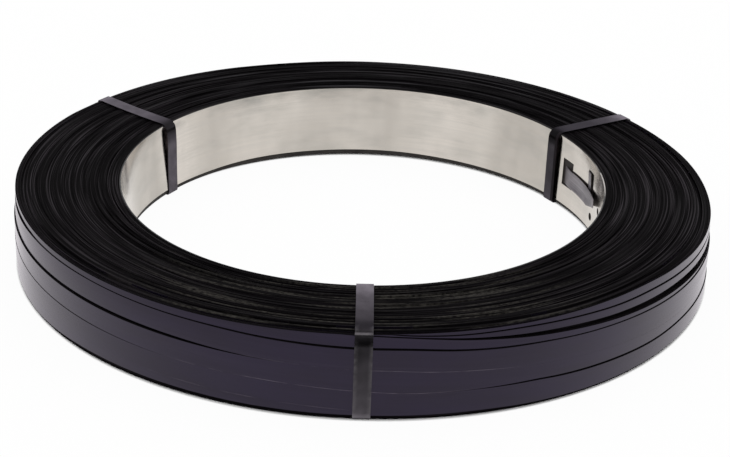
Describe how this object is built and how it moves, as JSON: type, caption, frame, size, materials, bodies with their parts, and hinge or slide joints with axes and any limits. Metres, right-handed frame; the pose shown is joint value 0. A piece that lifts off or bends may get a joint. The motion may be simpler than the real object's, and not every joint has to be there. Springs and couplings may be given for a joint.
{
  "type": "steel strapping coil",
  "caption": "Black steel strapping wound in rows into a flat-lying ring on a bare steel hoop, its inner end hooked through the hoop, and bound by steel ties round its section",
  "frame": {"origin": "on the coil's axis, on the floor that its ties rest on", "axes": "+Z is the coil's axis, upwards; -Y is the front, at the tie that faces the camera; +X is to the right"},
  "size_m": [0.5746, 0.5756, 0.0676],
  "materials": {
    "strap": "black waxed paint, glossy at a low angle, with fine scuffs along the strap edges",
    "hoop": "bare cold-rolled steel, satin, with faint blotches",
    "tie": "dark grey steel, lightly scuffed"
  },
  "bodies": {
    "root": {"strap_coil": "strap", "core_hoop": "hoop", "tie_front": "tie", "tie_back_right": "tie", "tie_back_left": "tie"}
  },
  "joints": []
}
